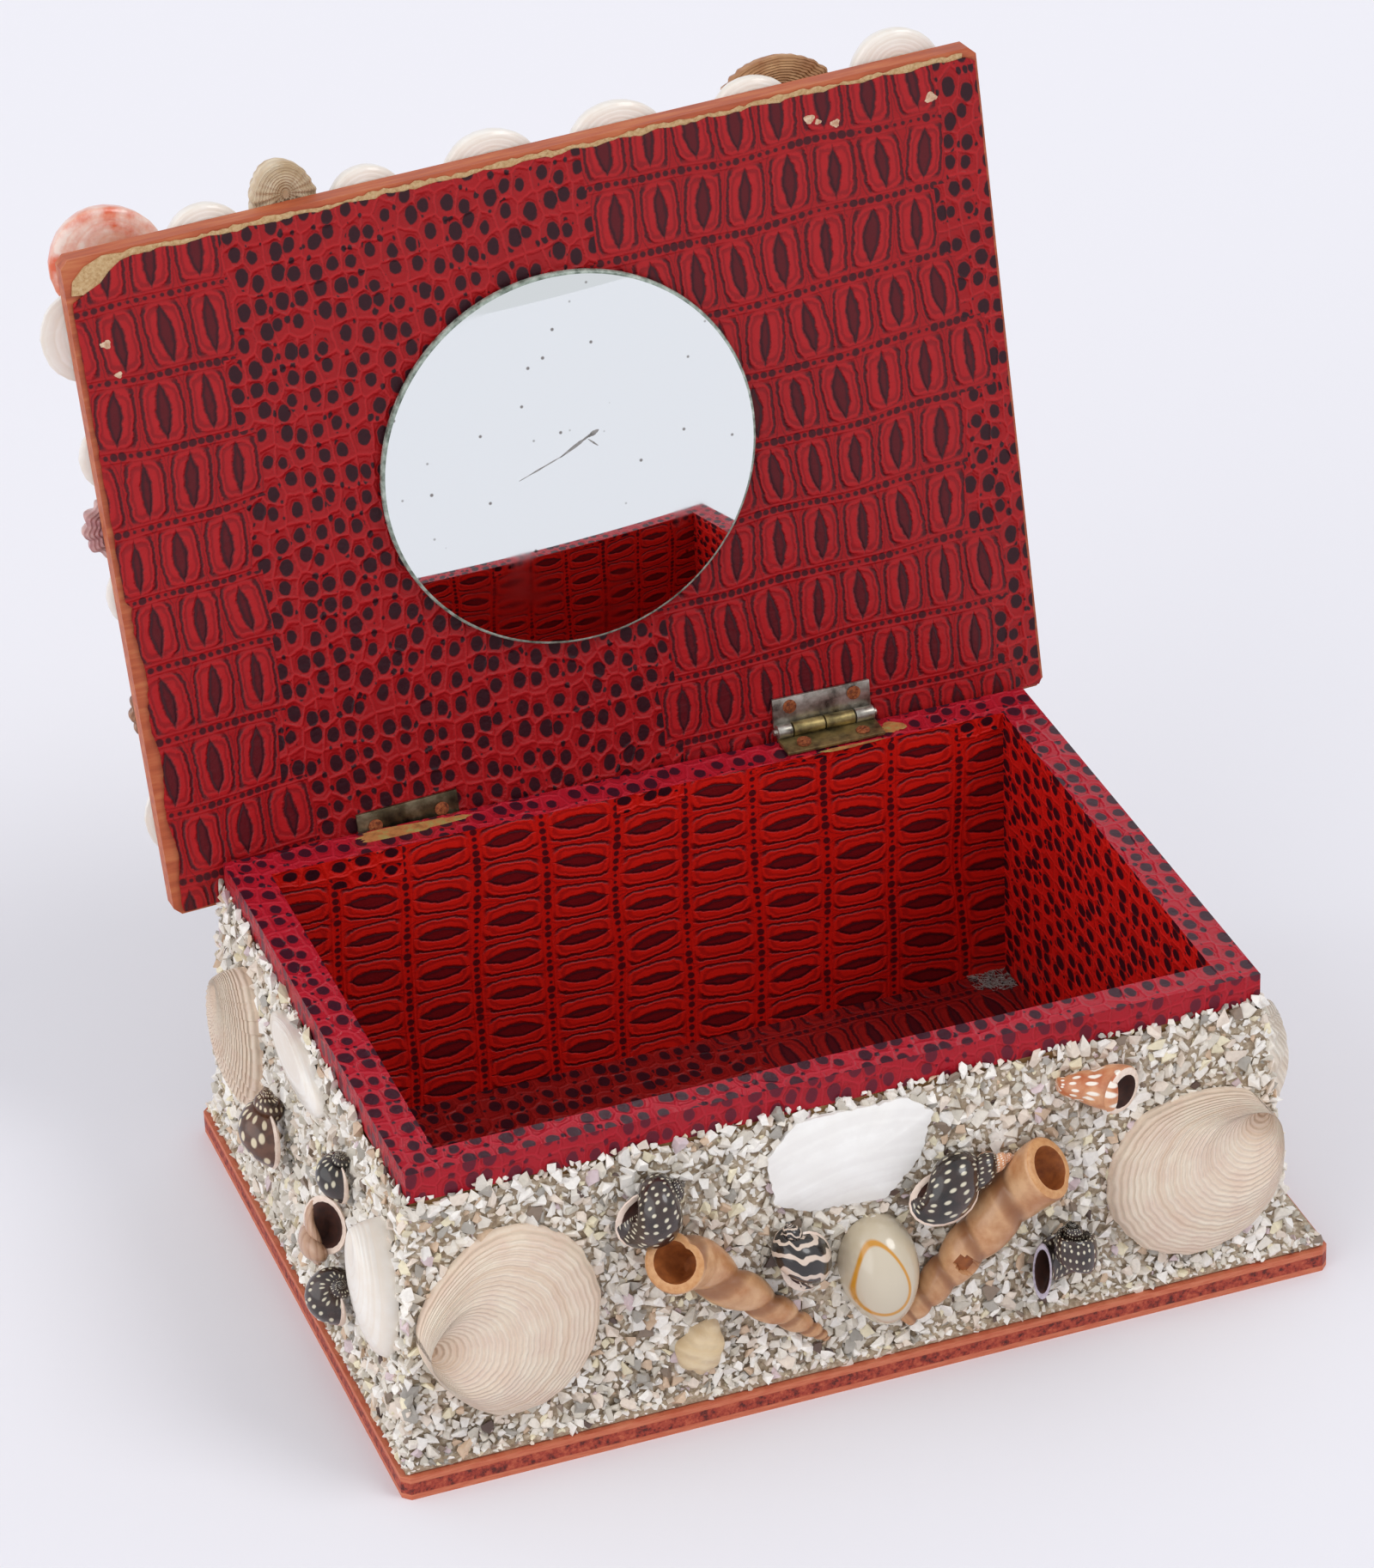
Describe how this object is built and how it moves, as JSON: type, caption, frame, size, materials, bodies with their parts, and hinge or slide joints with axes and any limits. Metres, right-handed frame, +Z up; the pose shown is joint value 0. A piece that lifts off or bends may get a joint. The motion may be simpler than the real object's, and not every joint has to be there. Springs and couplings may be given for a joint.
{
  "type": "shell_covered_trinket_box",
  "caption": "Old wooden trinket box on a plywood base, lined in red embossed paper, covered in crushed shell and seashells, with a mirror inside its open hinged lid.",
  "frame": {"origin": "centre of the base board's underside, on the surface that the box stands on", "axes": "+Z up, front of the box towards -Y, +X to the right as seen from the front"},
  "size_m": [0.2172, 0.1827, 0.2203],
  "materials": {
    "stained_plywood": "three-ply board with a worn coral stain on its edges and a rough dark red middle ply",
    "bare_wood": "bare softwood, seen only where the paper has worn off",
    "embossed_paper": "red paper embossed and printed as crocodile skin, slightly glossy, with dark spots",
    "crushed_shell": "angular grains of crushed shell set in old brownish glue",
    "white_shell": "smooth white seashell",
    "cream_shell": "cream and pink seashell with fine growth ridges",
    "peach_shell": "peach and orange seashell",
    "tan_shell": "tan and brown seashell with whorls or ribs",
    "dark_shell": "near-black glossy snail shell with white dots",
    "old_brass": "plated hinge, tarnished brown with rust at the screws",
    "mirror_glass": "silvered glass with a plain cut edge and a few specks"
  },
  "bodies": {
    "box": {"back_wall": "bare_wood", "banded_snail": "dark_shell", "base_board": "stained_plywood", "brown_snail_left": "dark_shell", "clam_back_left": "white_shell", "clam_back_right": "cream_shell", "clam_front_left": "cream_shell", "clam_front_right": "cream_shell", "clam_left_front": "cream_shell", "clam_left_middle": "white_shell", "clam_right_middle": "white_shell", "cockle_left_rear": "peach_shell", "cockle_right_front": "cream_shell", "cockle_right_rear": "peach_shell", "cowrie": "white_shell", "crushed_shell_coat": "crushed_shell", "dotted_snail_left_lower": "dark_shell", "dotted_snail_left_upper": "dark_shell", "dotted_snail_middle": "dark_shell", "dotted_snail_upper_left": "dark_shell", "front_wall": "bare_wood", "hinge_right_box_leaf": "old_brass", "hinge_right_pin": "old_brass", "left_wall": "bare_wood", "lilac_lipped_snail": "dark_shell", "lining_paper": "embossed_paper", "moon_snail": "tan_shell", "right_wall": "bare_wood", "spotted_cone_fragment": "tan_shell", "tower_shell_left": "tan_shell", "tower_shell_right": "tan_shell", "white_clam_fragment": "white_shell", "worn_pebble": "cream_shell"},
    "lid": {"brown_shell_lid_side": "tan_shell", "clam_lid_corner": "peach_shell", "clam_lid_edge_1": "white_shell", "clam_lid_edge_2": "white_shell", "clam_lid_edge_3": "white_shell", "clam_lid_edge_4": "white_shell", "clam_lid_edge_5": "white_shell", "clam_lid_edge_6": "white_shell", "clam_lid_side_1": "white_shell", "clam_lid_side_2": "white_shell", "clam_lid_side_3": "white_shell", "clam_lid_side_4": "white_shell", "clam_ring_lid_middle": "cream_shell", "clam_row_lid_hinge_side": "white_shell", "clam_row_lid_right": "white_shell", "cockle_lid_edge": "cream_shell", "hinge_left_lid_leaf": "old_brass", "hinge_right_lid_leaf": "old_brass", "lid_board": "stained_plywood", "lid_crushed_shell_bed": "crushed_shell", "lid_lining_paper": "embossed_paper", "mirror": "mirror_glass", "ribbed_shell_lid_side": "peach_shell", "scallop_lid": "tan_shell"}
  },
  "joints": [
    {"name": "lid_hinge", "type": "hinge", "parent": "box", "child": "lid", "pos_m": [-0.0033, 0.0599, 0.0746], "axis": [1, 0, 0], "range_deg": [0, 98.5]}
  ]
}
